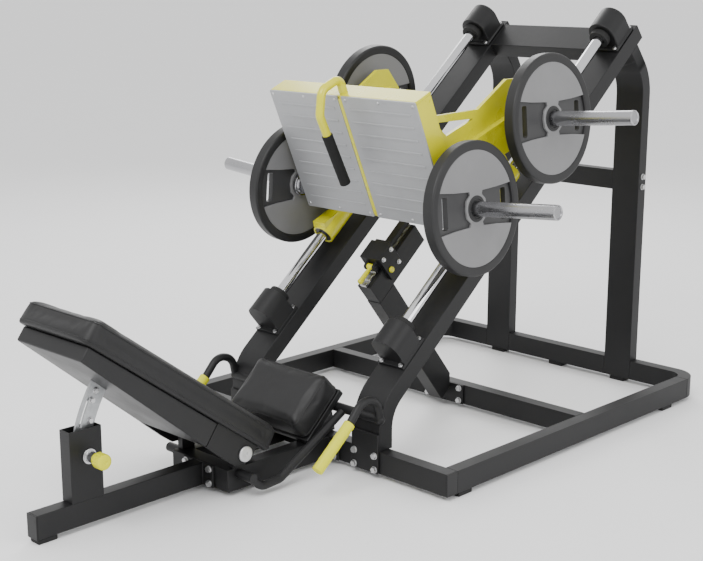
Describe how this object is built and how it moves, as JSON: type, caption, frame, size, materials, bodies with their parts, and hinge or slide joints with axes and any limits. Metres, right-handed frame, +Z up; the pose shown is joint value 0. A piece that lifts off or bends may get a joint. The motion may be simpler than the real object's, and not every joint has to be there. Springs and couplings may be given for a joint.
{
  "type": "leg press machine",
  "caption": "Plate-loaded leg press with a raked carriage on chrome rods, ribbed footplate, weight plates on side pins, reclining backrest, seat with side grips and an adjustable stop",
  "frame": {"origin": "centre of the footprint on the floor", "axes": "X across the machine, Y from the head end to the tower, Z up"},
  "size_m": [1.577, 2.612, 1.4953],
  "materials": {
    "frame_black": "satin black powder coat",
    "carriage_lime": "semi-gloss lime yellow paint",
    "rod_chrome": "hard chrome",
    "bright_steel": "zinc plated",
    "foot_aluminium": "ribbed, satin",
    "plate_iron": "grey enamel with a black rim",
    "black_rubber": "matt",
    "pad_vinyl": "black upholstery",
    "black_plastic": "fine texture"
  },
  "bodies": {
    "frame": {"front_rail": "frame_black", "cross_rails": "frame_black", "side_rail_near": "frame_black", "side_rail_far": "frame_black", "rear_corner_near": "frame_black", "rear_corner_far": "frame_black", "rail_feet": "black_rubber", "beam_near": "frame_black", "beam_far": "frame_black", "post_near": "frame_black", "post_far": "frame_black", "top_crossbeam": "frame_black", "mid_crossbeam": "frame_black", "rod_near": "rod_chrome", "rod_far": "rod_chrome", "lower_clamps": "frame_black", "upper_clamps": "frame_black", "rod_buffers": "black_rubber", "beam_foot_plates": "frame_black", "stop_column": "frame_black", "stop_rack": "bright_steel", "head_beam": "frame_black", "head_post": "frame_black", "pop_pin_housing": "bright_steel", "seat_base": "frame_black", "pivot_lugs": "frame_black", "seat_tubes": "frame_black", "seat_board": "black_plastic", "seat_pad": "pad_vinyl", "handle_near": "frame_black", "handle_far": "frame_black", "handle_grips": "carriage_lime", "frame_bolts": "bright_steel", "end_caps": "black_plastic"},
    "carriage": {"foot_frame_ends": "carriage_lime", "foot_frame_sides": "carriage_lime", "foot_panel_near": "foot_aluminium", "foot_panel_far": "foot_aluminium", "arm_near": "carriage_lime", "arm_far": "carriage_lime", "sleeves": "carriage_lime", "guide_bushes": "black_plastic", "carriage_crossbars": "carriage_lime", "stop_tongue": "frame_black", "pins_near": "rod_chrome", "pins_far": "rod_chrome", "pull_hook": "carriage_lime", "hook_grip": "black_rubber"},
    "backrest": {"back_pad": "pad_vinyl", "back_shell": "black_plastic", "back_hinge_plates": "frame_black", "pivot_shaft": "bright_steel", "quadrant": "bright_steel"},
    "pin": {"pop_pin": "bright_steel"},
    "stop": {"stop_block": "frame_black"},
    "lever": {"stop_lever": "carriage_lime"},
    "plate_near_low": {"plate_near_low": "plate_iron"},
    "plate_near_high": {"plate_near_high": "plate_iron"},
    "plate_far_low": {"plate_far_low": "plate_iron"},
    "plate_far_high": {"plate_far_high": "plate_iron"}
  },
  "joints": [
    {"name": "carriage_slide", "type": "slide", "parent": "frame", "child": "carriage", "axis": [0, 0.766, 0.6428], "range_m": [0, 0.6684]},
    {"name": "backrest_recline", "type": "hinge", "parent": "frame", "child": "backrest", "pos_m": [0, -0.626, 0.143], "axis": [1, 0, 0], "range_deg": [-8, 3]},
    {"name": "pop_pin_pull", "type": "slide", "parent": "frame", "child": "pin", "axis": [1, 0, 0], "range_m": [0, 0.016], "stiffness_N_per_m": 600},
    {"name": "stop_slide", "type": "slide", "parent": "frame", "child": "stop", "axis": [0, 0.766, 0.6428], "range_m": [-0.06, 0]},
    {"name": "stop_lever_pull", "type": "hinge", "parent": "stop", "child": "lever", "pos_m": [0, 0.12561, 0.60457], "axis": [1, 0, 0], "range_deg": [-30, 0], "stiffness_Nm_per_rad": 3},
    {"name": "plate_near_low_slide", "type": "slide", "parent": "carriage", "child": "plate_near_low", "axis": [0.9965, 0, 0.0837], "range_m": [0, 0.33]},
    {"name": "plate_near_high_slide", "type": "slide", "parent": "carriage", "child": "plate_near_high", "axis": [0.9965, 0, 0.0837], "range_m": [0, 0.33]},
    {"name": "plate_far_low_slide", "type": "slide", "parent": "carriage", "child": "plate_far_low", "axis": [-0.9965, 0, 0.0837], "range_m": [0, 0.375]},
    {"name": "plate_far_high_slide", "type": "slide", "parent": "carriage", "child": "plate_far_high", "axis": [-0.9965, 0, 0.0837], "range_m": [0, 0.375]}
  ]
}
